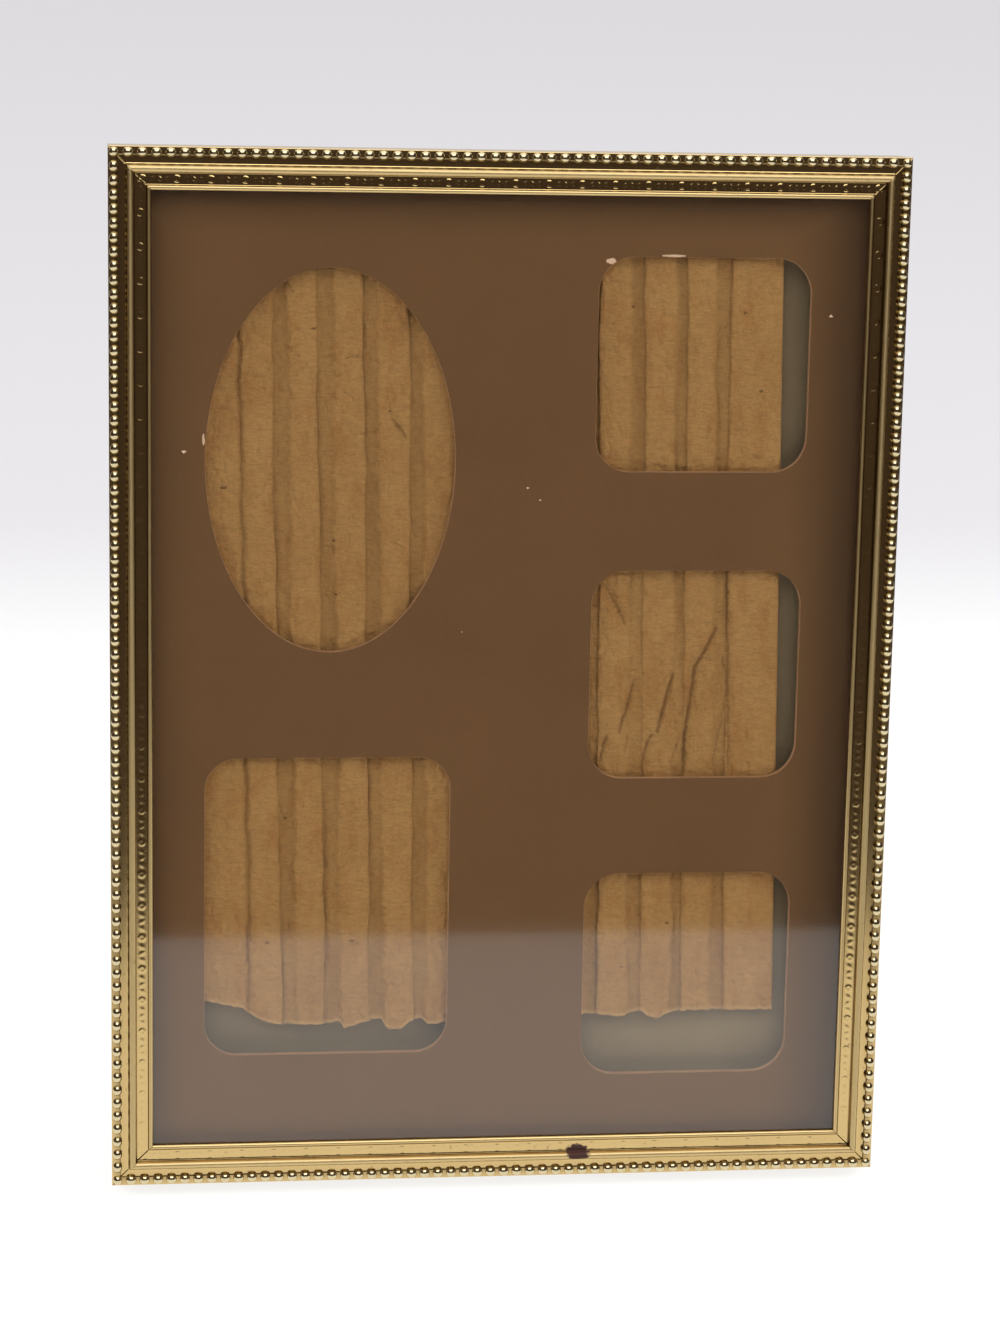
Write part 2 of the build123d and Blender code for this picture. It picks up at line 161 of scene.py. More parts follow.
# Left and right edges of the filler's crests, and which of them has a flattened valley on its right
CRESTS_LEFT = ((-66.5, -53.5), (-50.8, -45.4), (-41.7, -36.7), (-32.9, -27.6), (-24.2, -18.7))
CRESTS_MIDDLE = ((-15.3, -8.8), (-6.2, -1.2), (1.8, 6.9), (10.5, 15.6))
CRESTS_RIGHT = ((19.3, 24.8), (28.4, 33.9), (36.7, 42), (45.4, 56.5))
CRESTS = CRESTS_LEFT + CRESTS_MIDDLE + CRESTS_RIGHT
PRESSED_FLAT = (0,)

# Creases pressed into the filler: their points, depth and half width
CREASES = (
    (((20.4, 17.9), (23, 13.2), (24.5, 10.1)), 0.8, 0.8),
    (((26.2, -2.6), (24.6, -8.6), (23.4, -12.2)), 0.8, 0.7),
    (((34.3, -0.6), (32.5, -7.6), (31.3, -12.2)), 1.0, 0.7),
    (((43, 8.5), (40.4, 3.2), (38.8, 0.8), (38.4, -2.9), (36.9, -13.2), (36.8, -20.6)), 1.0, 0.8),
    (((29.9, -13), (28.7, -16.3), (28.1, -20.5)), 0.7, 0.7),
    (((20.9, -12.7), (19.6, -18)), 0.7, 0.7),
    (((25.2, -12.9), (24.6, -16.1)), 0.5, 0.6),
    (((44.5, 2.3), (44.8, 0.2)), 0.6, 0.5),
    (((45.2, 21), (45.2, 14.3), (45.7, -6), (45.8, -21)), 0.7, 0.5),
    (((45.2, -4.7), (44.2, -11.7), (42.7, -19.1)), 0.3, 1.1),
    (((35.7, -14), (34.1, -18.9)), 0.3, 1.0),
    (((-23.1, 58), (-21.8, 51.5)), 0.3, 0.7),
    (((-21.8, 51.5), (-19.4, 48.3)), 0.8, 0.6),
    (((-42.5, 66.3), (-41.5, 65.5)), 0.6, 0.5),
    (((-30.8, 63.8), (-28.4, 64.2)), 0.5, 0.6),
    (((-21.9, 27.3), (-19.9, 26.2)), 0.5, 0.6),
    (((-42, 78.3), (-41, 76.6)), 0.6, 0.6),
)

# Dark flecks in the filler's paper: X, Z and half length
FLECKS_OVAL = ((-55.2, 38.7, 0.5), (-33.7, 27.7, 0.1), (-33.4, 17, 0.2), (-37.2, 69.6, 0.2))
FLECKS_LEFT = ((-22.4, 53.2, 0.1), (-44, -28.2, 0.15), (-48, -53.7, 0.15), (-30.9, -53.9, 0.15))
FLECKS_LOW = ((33.6, -52.3, 0.15), (24.1, -61.3, 0.15))
FLECKS_HIGH = ((25.8, 73.1, 0.15), (51.4, 56.2, 0.15), (48, 71.7, 0.15))
FLECKS = FLECKS_OVAL + FLECKS_LEFT + FLECKS_LOW + FLECKS_HIGH

# Where the filler is crushed behind the middle window on the right, and how far from there
CRUSHED_AT = (31, -6)
CRUSHED_REACH = (13, 19)

# Specks of dust on the glass: X, Z and size
DUST = ((-63.7, 45.1, 0.8), (3.6, 38.2, 0.5), (6.1, 35.8, 0.45), (63.1, 72.4, 0.7), (-9, 9.5, 0.3))
DUST_SIDES = 9
DUST_RINGS = ((1.0, 0.01), (0.9, 0.05), (0.5, 0.09))

# Dark stain on the lower rail: X, Z and half sizes
RAIL_STAIN = (16.5, -98.6, 2.6, 1.6)

# Camera, turned about the panel's own axes, and how wide it sees
CAMERA_AIM = (-1.3, -0.5, 2.6)
CAMERA_TURN = math.radians(-7.17)
CAMERA_LIFT = math.radians(10.84)
CAMERA_ROLL = math.radians(1.09)
CAMERA_DISTANCE = 632.4
CAMERA_SENSOR = 36.0
CAMERA_LENS = 114.8

# Pale grey behind the object
BACKGROUND = (0.785, 0.77, 0.79, 1)

# Floor, and the dark screens that the brass and the glass mirror, in metres
FLOOR_R = 6.0
FLOOR_SIDES = 96
SCREEN_FRONT = -1.12
SCREEN_BACK = 0.2
SCREEN_HALF_W = 0.45
SCREEN_H = 0.9

# Lamps: name, place, width, height, watts, and whether the brass and the glass mirror them
LAMPS = (
    ("front_softbox", (0.1, -0.9, 1.05), 1.4, 0.9, 5.6, True),
    ("overhead_softbox", (0, -0.1, 0.95), 2.0, 1.5, 7.2, True),
    ("left_softbox", (-0.9, -0.12, 0.55), 0.6, 0.6, 9.5, False),
    ("right_softbox", (0.9, -0.12, 0.55), 0.6, 0.6, 10.5, False),
)
LAMP_AIM = (0, 0, 0.1)

# Points of a mesh closer than this are one point, in panel millimetres
WELD = 0.001

# Farther than any crease or fleck is drawn
FAR = 9.0


def colour(red, green, blue):
    """A colour as it looks on screen, in 0 to 255, as the linear values that shaders use."""
    def linear(level):
        level = level / 255
        return level / 12.92 if level <= 0.04045 else ((level + 0.055) / 1.055) ** 2.4
    return (linear(red), linear(green), linear(blue), 1.0)


def panel_axes():
    """Panel millimetres to the frame's metres, from the glass and a turn button's axis."""
    turn = next(joint for joint in frame["joints"] if joint["name"] == "button_upper_left_turn")
    back = Vector(turn["axis"]).normalized()
    across = Vector((1, 0, 0))
    up = across.cross(back)
    axes = Matrix((across, back, up)).transposed().to_4x4() @ Matrix.Scale(MM, 4)
    glass = frame["nodes"]["glass_pane"].data.vertices
    depths = [back.dot(vertex.co) for vertex in glass]
    low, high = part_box("glass_pane")
    middle = (low + high) / 2
    return Matrix.Translation(middle + back * (min(depths) - back.dot(middle))) @ axes


PANEL = panel_axes()
TO_PANEL = PANEL.inverted()


def panel_box(node):
    """Lowest and highest corner of a CAD node in panel millimetres."""
    points = np.array([TO_PANEL @ vertex.co for vertex in frame["nodes"][node].data.vertices])
    return points.min(0), points.max(0)


GLASS_LOW, GLASS_HIGH = panel_box("glass_pane")
MAT_LOW, MAT_HIGH = panel_box("mat_board")
FLUTES_LOW, FLUTES_HIGH = panel_box("filler_flutes")
LINER_LOW, LINER_HIGH = panel_box("filler_liner")
RAIL_LOW, RAIL_HIGH = panel_box("rail_left")

RAIL_FACE = LIP_W + BAND_W + RIDGE_W + COVE_W + 2 * BEAD_R - BEAD_OVERHANG
RAIL_REAR = RAIL_HIGH[1]
OUTER_W = -2 * (RAIL_LOW[0] + BEAD_OVERHANG)
OUTER_H = RAIL_HIGH[2] - RAIL_LOW[2]
SIGHT_W = OUTER_W - 2 * RAIL_FACE
SIGHT_H = OUTER_H - 2 * RAIL_FACE
FILLER_LEFT = GLASS_LOW[0] + FILLER_LEFT_GAP
FILLER_RIGHT = GLASS_HIGH[0] - FILLER_RIGHT_GAP
FILLER_TOP = GLASS_HIGH[2] - FILLER_TOP_GAP


class Wire:
    """A node's output. Arithmetic on it adds Math nodes to the same finish."""

    def __init__(self, finish, socket):
        self.finish = finish
        self.socket = socket

    def maths(self, operation, first, second=0.0, clamp=False):
        settings = {"operation": operation, "use_clamp": clamp}
        return self.finish.node("Math", settings, {0: first, 1: second})

    def __add__(self, other):
        return self.maths("ADD", self, other)

    def __radd__(self, other):
        return self.maths("ADD", other, self)

    def __sub__(self, other):
        return self.maths("SUBTRACT", self, other)

    def __rsub__(self, other):
        return self.maths("SUBTRACT", other, self)

    def __mul__(self, other):
        return self.maths("MULTIPLY", self, other)

    def __truediv__(self, other):
        return self.maths("DIVIDE", self, other)

    def clamped(self):
        return self.maths("ADD", self, 0.0, clamp=True)

    def larger(self, other):
        return self.maths("MAXIMUM", self, other)

    def smaller(self, other):
        return self.maths("MINIMUM", self, other)


class Finish:
    """A material, or the world, while its nodes are being put together."""

    def __init__(self, block):
        self.block = block
        block.use_nodes = True
        self.tree = block.node_tree
        self.tree.nodes.clear()

    def node(self, kind, settings=None, inputs=None, output=0):
        made = self.tree.nodes.new("ShaderNode" + kind)
        for name, value in (settings or {}).items():
            setattr(made, name, value)
        for name, value in (inputs or {}).items():
            if isinstance(value, Wire):
                self.tree.links.new(value.socket, made.inputs[name])
            else:
                made.inputs[name].default_value = value
        return Wire(self, made.outputs[output]) if made.outputs else None

    def place(self):
        """Where a point lies, in panel millimetres."""
        inputs = {
            "Vector": self.node("TexCoord", output="Object"),
            "Location": PANEL.translation,
            "Rotation": PANEL.to_euler(),
            "Scale": (MM, MM, MM),
        }
        return self.node("Mapping", {"vector_type": "TEXTURE"}, inputs)

    def vector(self, operation, inputs, output=0):
        return self.node("VectorMath", {"operation": operation}, inputs, output)

    def stretched(self, place, x, y, z):
        return self.vector("MULTIPLY", {0: place, 1: (x, y, z)})

    def axis(self, vector, name):
        return self.node("SeparateXYZ", {}, {0: vector}, output=name)

    def cloud(self, place, scale, detail=3.0, roughness=0.55):
        inputs = {"Vector": place, "Scale": scale, "Detail": detail, "Roughness": roughness}
        return self.node("TexNoise", {}, inputs)

    def cells(self, place, scale):
        return self.node("TexVoronoi", {}, {"Vector": place, "Scale": scale}, output="Distance")

    def rise(self, value, low, high):
        """0 below low, 1 above high and a smooth rise between."""
        settings = {"interpolation_type": "SMOOTHSTEP", "clamp": True}
        return self.node("MapRange", settings, {"Value": value, "From Min": low, "From Max": high})

    def mark(self, name):
        return self.node("Attribute", {"attribute_name": name}, output="Fac")

    def mix(self, share, first, second):
        return self.node("Mix", {"data_type": "RGBA"}, {0: share, 6: first, 7: second}, output=2)

    def bump(self, height, strength, distance):
        return self.node("Bump", {}, {"Strength": strength, "Distance": distance, "Height": height})

    def blot(self, place, spot):
        """1 inside a ragged oval spot given by X, Z and half sizes, and 0 outside."""
        x, z, half_x, half_z = spot
        across = (self.axis(place, "X") - x) / half_x
        along = (self.axis(place, "Z") - z) / half_z
        ragged = self.cloud(place, 1.4) - 0.5
        return 1 - self.rise(across * across + along * along + ragged * 1.6, 0.6, 1.1)

    def away(self, flat, start, end):
        """How far a flat place lies from the line between two points given by X and Z."""
        run = (end[0] - start[0], 0, end[1] - start[1])
        square = run[0] ** 2 + run[2] ** 2
        reach = self.vector("SUBTRACT", {0: flat, 1: (start[0], 0, start[1])})
        ahead = self.vector("DOT_PRODUCT", {0: reach, 1: run}, output="Value")
        ahead = (ahead / square).clamped()
        near = self.vector("SCALE", {0: run, "Scale": ahead})
        return self.vector("DISTANCE", {0: reach, 1: near}, output="Value")

    def wobbled(self, place, scale, reach):
        """The same place, shifted here and there by up to half of reach."""
        inputs = {"Vector": place, "Scale": scale, "Detail": 2.0}
        shift = self.node("TexNoise", {}, inputs, output="Color")
        moved = self.vector("MULTIPLY_ADD", {0: shift, 1: (reach,) * 3, 2: place})
        return self.vector("SUBTRACT", {0: moved, 1: (reach / 2,) * 3})

    def principled(self, inputs):
        return self.output(self.node("BsdfPrincipled", {}, inputs))

    def output(self, shader, kind="OutputMaterial"):
        self.node(kind, {}, {"Surface": shader})
        return self.block


def new_finish(name):
    return Finish(bpy.data.materials.new(name))


def pressed_brass(name, bright, worn, grime, stain=None):
    """Lacquered brass: grimy in recesses, duller on rubbed edges and paler on worn beads."""
    finish = new_finish(name)
    place = finish.place()
    cloud = finish.cloud(place, 0.12, 4)
    grain = finish.cloud(place, 3.0, 2)
    spots = finish.rise(finish.cloud(place, 0.7, 5, 0.7), 0.6, 0.75)
    gritty = finish.mark("gritty")
    shade = finish.mix(finish.mark("worn"), bright, worn)
    shade = finish.mix((gritty * (0.55 + cloud * 0.5) + spots * 0.3).clamped(), shade, grime)
    rough = 0.06 + finish.mark("rubbed") * 0.36 + gritty * 0.1 + cloud * 0.05 + spots * 0.12
    metal = 1 - spots * 0.1
    if stain:
        blot = finish.blot(place, stain)
        shade = finish.mix(blot, shade, colour(58, 30, 22))
        rough = rough + blot * 0.35
        metal = metal * (1 - blot * 0.9)
    bump = finish.bump(grain * 0.5 + cloud, 0.12, 0.03 * MM)
    inputs = {"Base Color": shade, "Metallic": metal, "Roughness": rough, "Normal": bump}
    return finish.principled(inputs)


def clear_glass():
    """A thin pane: it shows what is behind it and reflects by the angle it is seen at."""
    finish = new_finish("clear_glass")
    clear = finish.node("BsdfTransparent", {}, {"Color": (0.97, 0.985, 0.975, 1)})
    gloss = finish.node("BsdfAnisotropic", {}, {"Color": (1, 1, 1, 1), "Roughness": 0.04})
    share = finish.node("Fresnel", {}, {"IOR": 1.5})
    rear = finish.node("NewGeometry", output="Backfacing")
    shown = share * (1 - rear) * 1.8
    return finish.output(finish.node("MixShader", {}, {0: shown, 1: clear, 2: gloss}))


def mat_paper():
    """The mat's brown paper: with painted shade along the rails, and chipped in a few places."""
    finish = new_finish("mat_paper")
    place = finish.place()
    cloud = finish.cloud(place, 0.03, 4)
    fibre = finish.cloud(finish.stretched(place, 1.0, 1.0, 4.0), 0.9, 3)
    shade = finish.mix(cloud, colour(99, 68, 42), colour(113, 79, 49))
    shade = finish.mix(fibre * 0.4, shade, colour(88, 62, 39))
    across = finish.axis(place, "X")
    left = 1 - finish.rise(across, -SIGHT_W / 2, RAIL_SHADE_LEFT - SIGHT_W / 2)
    right = finish.rise(across, SIGHT_W / 2 - RAIL_SHADE_RIGHT, SIGHT_W / 2)
    top = finish.rise(finish.axis(place, "Z"), SIGHT_H / 2 - RAIL_SHADE_TOP, SIGHT_H / 2)
    # Painted shade of the rails: the paper is darkened along its right, top and left edges
    rail_shade = (right * 0.52).larger(top * 0.45).larger(left * 0.2)
    shade = finish.mix(rail_shade * (0.8 + cloud * 0.4), shade, colour(46, 32, 20))
    chipped = finish.blot(place, MAT_CHIPS[0])
    for chip in MAT_CHIPS[1:]:
        chipped = chipped.larger(finish.blot(place, chip))
    shade = finish.mix(chipped, shade, colour(206, 170, 142))
    bump = finish.bump(fibre - chipped, 0.2, 0.08 * MM)
    rough = 0.7 + fibre * 0.2
    inputs = {"Base Color": shade, "Roughness": rough, "Normal": bump, "Specular IOR Level": 0.12}
    return finish.principled(inputs)


def mat_core():
    """The pale pulp that shows on the cut edges of the mat."""
    finish = new_finish("mat_core")
    place = finish.place()
    layers = finish.cloud(finish.stretched(place, 0.4, 6.0, 0.4), 1.0, 3)
    worn = finish.cloud(place, 0.16, 3)
    shade = finish.mix(worn, colour(142, 100, 66), colour(196, 150, 112))
    shade = finish.mix(layers * 0.5, shade, colour(118, 82, 54))
    bump = finish.bump(layers, 0.3, 0.06 * MM)
    return finish.principled({"Base Color": shade, "Roughness": 0.8, "Normal": bump})


def filler_place(x, z):
    """X and Z on the panel of a point of the turned filler."""
    cosine = math.cos(FILLER_TURN)
    sine = math.sin(FILLER_TURN)
    return x * cosine - z * sine, z * cosine + x * sine


def kraft_paper():
    """Brown fluted paper with painted shade in its valleys, at its folds and along its creases, with
    flecks and a pale torn edge.
    """
    finish = new_finish("kraft_paper")
    place = finish.place()
    cloud = finish.cloud(place, 0.07, 4)
    fibre = finish.cloud(finish.stretched(place, 0.7, 1.0, 3.2), 0.9, 4, 0.65)
    patch = finish.cloud(finish.stretched(place, 1.0, 1.0, 0.5), 0.22, 4, 0.7)
    pulp = finish.cloud(place, 2.2, 4, 0.75)
    flat = finish.stretched(finish.wobbled(place, 0.8, 0.9), 1.0, 0.0, 1.0)
    near_crease = FAR
    for line, depth, _ in CREASES:
        thinner = 0.4 * (1 - min(1, depth))
        for start, end in zip(line, line[1:]):
            away = finish.away(flat, filler_place(*start), filler_place(*end)) + thinner
            near_crease = away.smaller(near_crease)
    near_fleck = FAR
    for x, z, half in FLECKS:
        away = finish.away(flat, filler_place(x - half, z), filler_place(x + half, z))
        near_fleck = away.smaller(near_fleck)
    shade = finish.mix(cloud, colour(150, 108, 63), colour(169, 126, 78))
    shade = finish.mix(finish.rise(patch, 0.4, 0.75) * 0.8, shade, colour(144, 96, 52))
    shade = finish.mix(finish.rise(fibre, 0.35, 0.75) * 0.5, shade, colour(122, 88, 49))
    shade = finish.mix(finish.rise(pulp, 0.45, 0.8) * 0.5, shade, colour(184, 142, 92))
    # Painted shade in the flutes' valleys
    shade = finish.mix(finish.mark("valley") * 0.3, shade, colour(120, 85, 46))
    # Painted shadow at the flutes' folds and the creases, from the crease mark
    shade = finish.mix(finish.mark("crease") * 0.45, shade, colour(92, 63, 33))
    # Painted shadow along the crease lines
    crease_shadow = 1 - finish.rise(near_crease + (patch - 0.5) * 0.7, 0.0, 0.6)
    shade = finish.mix(crease_shadow * 0.55, shade, colour(90, 58, 29))
    flecked = 1 - finish.rise(near_fleck, 0.1, 0.35)
    shade = finish.mix(flecked * 0.7, shade, colour(70, 46, 26))
    shade = finish.mix(finish.mark("torn") * 0.6, shade, colour(190, 150, 104))
    wrinkle = finish.cloud(finish.stretched(place, 0.5, 1.0, 1.2), 0.5, 2)
    fold = finish.cloud(finish.stretched(place, 1.0, 1.0, 0.7), 0.3, 2) - 0.5
    crumple = fold.larger(0 - fold)
    bump = finish.bump(wrinkle * 0.6 + pulp * 0.04 + crumple * 1.3, 0.9, 1.3 * MM)
    inputs = {"Base Color": shade, "Roughness": 0.86, "Normal": bump, "Specular IOR Level": 0.12}
    return finish.principled(inputs)


def grey_card():
    """The warm grey backing card."""
    finish = new_finish("grey_card")
    place = finish.place()
    cloud = finish.cloud(place, 0.06, 4)
    fibre = finish.cloud(place, 1.6, 3)
    shade = finish.mix(cloud, colour(126, 105, 80), colour(141, 119, 92))
    shade = finish.mix(fibre * 0.3, shade, colour(98, 84, 64))
    bump = finish.bump(fibre, 0.25, 0.05 * MM)
    inputs = {"Base Color": shade, "Roughness": 0.8, "Normal": bump, "Specular IOR Level": 0.12}
    return finish.principled(inputs)


def easel_paper():
    """Dark pebbled paper on the easel back and its strut, rubbed paler here and there."""
    finish = new_finish("easel_paper")
    place = finish.place()
    pebble = finish.cells(place, 1.5)
    cloud = finish.cloud(place, 0.05, 4)
    rubbed = finish.rise(finish.cloud(place, 0.035, 5, 0.7), 0.56, 0.75)
    shade = finish.mix(cloud, colour(44, 36, 31), colour(58, 47, 40))
    shade = finish.mix(rubbed * 0.5, shade, colour(96, 80, 66))
    shade = finish.mix((1 - pebble) * 0.35, shade, colour(30, 25, 22))
    bump = finish.bump(pebble, 0.6, 0.12 * MM)
    rough = 0.55 + cloud * 0.3
    return finish.principled({"Base Color": shade, "Roughness": rough, "Normal": bump})


def plated_steel():
    """Nickel-plated steel of the hinge, buttons, strap and ring."""
    finish = new_finish("plated_steel")
    place = finish.place()
    drawn = finish.cloud(finish.stretched(place, 0.4, 6.0, 6.0), 1.0, 3)
    spots = finish.rise(finish.cloud(place, 0.5, 4, 0.7), 0.6, 0.78)
    shade = finish.mix(drawn, colour(178, 172, 160), colour(206, 202, 192))
    shade = finish.mix(spots * 0.6, shade, colour(120, 98, 74))
    rough = 0.26 + drawn * 0.16 + spots * 0.3
    bump = finish.bump(drawn, 0.1, 0.02 * MM)
    metal = 1 - spots * 0.5
    inputs = {"Base Color": shade, "Metallic": metal, "Roughness": rough, "Normal": bump}
    return finish.principled(inputs)


def dust_finish():
    """Pale dust."""
    finish = new_finish("dust")
    place = finish.place()
    cloud = finish.cloud(place, 2.0, 3)
    shade = finish.mix(cloud, colour(168, 130, 104), colour(226, 200, 178))
    bump = finish.bump(cloud, 0.4, 0.05 * MM)
    return finish.principled({"Base Color": shade, "Roughness": 0.9, "Normal": bump})


def seen_by(finish):
    """1 where the eye sees it, also mirrored or through glass, and 0 where it lights other things."""
    seen = finish.node("LightPath", output="Is Camera Ray")
    seen = seen.larger(finish.node("LightPath", output="Is Glossy Ray"))
    return seen.larger(finish.node("LightPath", output="Is Transmission Ray"))


def floor_finish():
    """A floor that is white about the object, pale grey further back, and takes a soft shadow."""
    finish = new_finish("pale_floor")
    place = finish.node("NewGeometry", output="Position")
    grain = finish.cloud(place, 9.0, 2)
    far = finish.rise(finish.vector("LENGTH", {0: place}, output="Value"), 1.1, 2.2)
    grey = finish.rise(finish.axis(place, "Y"), 0.19, 0.36).larger(far)
    shade = finish.mix(grey, (1, 1, 1, 1), BACKGROUND)
    shade = finish.mix(grain * 0.02, shade, (0.92, 0.92, 0.92, 1))
    matt = finish.node("BsdfDiffuse", {}, {"Color": shade})
    glow = finish.node("Emission", {}, {"Color": shade, "Strength": 1.0})
    share = seen_by(finish) * (0.8 + far * 0.2)
    return finish.output(finish.node("MixShader", {}, {0: share, 1: matt, 2: glow}))


def screen_finish():
    """Dark cloth that glows as dimly from every side."""
    finish = new_finish("dark_screen")
    cloth = finish.cloud(finish.node("NewGeometry", output="Position"), 4.0, 3)
    shade = finish.mix(cloth, (0.05, 0.037, 0.032, 1), (0.076, 0.056, 0.048, 1))
    return finish.output(finish.node("Emission", {}, {"Color": shade, "Strength": 1.0}))


def link(thing):
    bpy.context.scene.collection.objects.link(thing)
    return thing


def shell(name, points, faces, marks=None):
    """A mesh object from panel points and faces, turned outwards, with its marks on the points."""
    mesh = bpy.data.meshes.new(name)
    mesh.from_pydata(points.tolist(), [], faces)
    for mark, values in (marks or {}).items():
        marked = mesh.attributes.new(mark, "FLOAT", "POINT")
        marked.data.foreach_set("value", values.astype(np.float32))
    work = bmesh.new()
    work.from_mesh(mesh)
    bmesh.ops.remove_doubles(work, verts=work.verts, dist=WELD)
    bmesh.ops.recalc_face_normals(work, faces=work.faces)
    work.to_mesh(mesh)
    work.free()
    mesh.transform(PANEL)
    mesh.polygons.foreach_set("use_smooth", [True] * len(mesh.polygons))
    return link(bpy.data.objects.new(name, mesh))


def settle(piece, finishes, slot, *nodes):
    """Gives a piece its finishes and its place on the frame, in the stead of CAD nodes."""
    for finish in finishes:
        piece.data.materials.append(finish)
    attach(piece, "frame")
    for node in nodes:
        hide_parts(node)


def grid_faces(rows, columns, first=0, closed=False):
    """Quads of a grid of points that are counted row by row."""
    across = columns if closed else columns - 1
    return [
        (
            first + row * columns + column,
            first + row * columns + (column + 1) % columns,
            first + (row + 1) * columns + (column + 1) % columns,
            first + (row + 1) * columns + column,
        )
        for row in range(rows - 1)
        for column in range(across)
    ]


def smooth_step(low, high, values):
    """0 at low, 1 at high and a smooth rise between. High may be the lower of the two."""
    share = np.clip((values - low) / (high - low), 0, 1)
    return share * share * (3 - 2 * share)


def wander(along, track, rate):
    """A smooth wander between -1 and 1 along a track, different on each track."""
    waves = ((1.0, 2.4), (2.3, 5.1), (4.1, 1.7), (7.7, 3.3))
    total = sum(
        np.sin(along * rate * speed + track * shift) / (index + 1)
        for index, (speed, shift) in enumerate(waves)
    )
    return total / 2


def pressed_pattern(along, across):
    """Rise of the rosettes and leaves above the band's floor."""
    place = np.mod(along, REPEAT)
    middle = across - LIP_W - BAND_W / 2
    rise = np.zeros_like(place)
    for start in (0, REPEAT):
        away = np.hypot(place - start, middle)
        ring = np.exp(-(((away - ROSETTE_R) / ROSETTE_LINE) ** 2))
        heart = np.exp(-((away / ROSETTE_LINE) ** 2))
        rise = np.maximum(rise, ROSETTE_RISE * np.maximum(ring, heart))
    for index, leaf in enumerate(LEAF_PLACES):
        tilt = LEAF_TILT if index % 2 else -LEAF_TILT
        long = (place - leaf) * math.cos(tilt) + middle * math.sin(tilt)
        wide = middle * math.cos(tilt) - (place - leaf) * math.sin(tilt)
        body = np.exp(-((long / LEAF_LONG) ** 2) - (wide / LEAF_WIDE) ** 2)
        rib = 1 - LEAF_RIB_DEEP * np.exp(-((wide / LEAF_RIB_W) ** 2))
        rise = np.maximum(rise, LEAF_RISE * body * rib)
    edge = smooth_step(BAND_W / 2, BAND_W / 2 - PATTERN_EDGE, np.abs(middle))
    return rise * edge


def rail_section():
    """Round a rail's closed section from the sight edge: place across, forward rise, how rubbed and
    how gritty."""
    band = LIP_W + BAND_W
    ridge = band + RIDGE_W
    ledge = ridge + COVE_W
    radius = RIDGE_W / 2
    shoulder = RIDGE_RISE - radius
    inside = RAIL_FACE - WALL_T
    rear_lip = inside - REAR_LIP_W + WALL_T
    section = [(0, 0, 0, 0.5)]
    for turn in np.linspace(0, math.pi, LIP_STEPS):
        bulge = math.sin(turn)
        across = LIP_W / 2 * (1 - math.cos(turn))
        rise = BAND_RISE + (LIP_RISE - BAND_RISE) * bulge
        section.append((across, rise, 0.8 * bulge ** 3, 0.4 - 0.4 * bulge))
    for across in np.linspace(LIP_W, band, BAND_STEPS)[1:-1]:
        section.append((across, BAND_RISE, 0.05, 0.1))
    section.append((band - 0.04, BAND_RISE, 0, 1))
    for turn in np.linspace(0, math.pi, RIDGE_STEPS):
        bulge = math.sin(turn)
        across = band + radius * (1 - math.cos(turn))
        section.append((across, shoulder + radius * bulge, bulge ** 2, 1 - bulge))
    for turn in np.linspace(0, math.pi / 2, COVE_STEPS):
        across = ridge + COVE_ROUND * (1 - math.cos(turn))
        rise = FLOOR_RISE + COVE_ROUND * (1 - math.sin(turn))
        section.append((across, rise, 0.1, 1 - 0.9 * math.sin(turn)))
    section += [
        # The step from the cove's floor up to the strip under the beads
        (ledge - 0.12, FLOOR_RISE, 0.05, 0.2),
        (ledge - 0.04, FLOOR_RISE, 0.1, 0.8),
        (ledge, FLOOR_RISE + 0.04, 0.1, 1),
        (ledge + 0.02, STRIP_RISE - 0.08, 0.2, 0.6),
        (ledge + 0.1, STRIP_RISE, 0.2, 0.4),
        (ledge + 0.16, STRIP_RISE, 0.2, 0.4),
        # The strip's rounded outer edge and the outer wall
        (RAIL_FACE - 0.2, STRIP_RISE, 0.2, 0.1),
        (RAIL_FACE - 0.12, STRIP_RISE, 0.4, 0),
        (RAIL_FACE - 0.03, STRIP_RISE - 0.03, 0.5, 0),
        (RAIL_FACE, STRIP_RISE - 0.12, 0.5, 0),
        (RAIL_FACE, STRIP_RISE - 0.2, 0.4, 0),
        (RAIL_FACE, -1.0, 0.4, 0.1),
        (RAIL_FACE, -3.0, 0.5, 0),
        (RAIL_FACE, -RAIL_REAR + 1.5, 0.5, 0),
        # The rounded bend to the rear lip, the lip, and the channel inside
        (RAIL_FACE, -RAIL_REAR + 0.4, 0.6, 0),
        (RAIL_FACE - 0.12, -RAIL_REAR + 0.12, 0.6, 0),
        (RAIL_FACE - 0.4, -RAIL_REAR, 0.5, 0.1),
        (rear_lip + 0.1, -RAIL_REAR, 0.5, 0.2),
        (rear_lip, -RAIL_REAR + 0.1, 0.5, 0.3),
        (rear_lip, -RAIL_REAR + WALL_T, 0, 0.6),
        (inside, -RAIL_REAR + WALL_T, 0, 1),
        (inside, 0, 0, 1),
    ]
    return np.array(section).T


def bead_ball():
    """Points of a ball about its middle, along X, Y and Z, with its faces."""
    tips = [(0, BEAD_R, 0), (0, -BEAD_R, 0)]
    points = []
    for ring in range(1, BEAD_RINGS):
        polar = math.pi * ring / BEAD_RINGS
        for segment in range(BEAD_SEGMENTS):
            turn = 2 * math.pi * segment / BEAD_SEGMENTS
            reach = BEAD_R * math.sin(polar)
            forward = BEAD_R * math.cos(polar)
            points.append((reach * math.cos(turn), forward, reach * math.sin(turn)))
    faces = grid_faces(BEAD_RINGS - 1, BEAD_SEGMENTS, closed=True)
    front = len(points)
    last = (BEAD_RINGS - 2) * BEAD_SEGMENTS
    for segment in range(BEAD_SEGMENTS):
        following = (segment + 1) % BEAD_SEGMENTS
        faces.append((front, following, segment))
        faces.append((front + 1, last + segment, last + following))
    return np.array(points + tips), faces


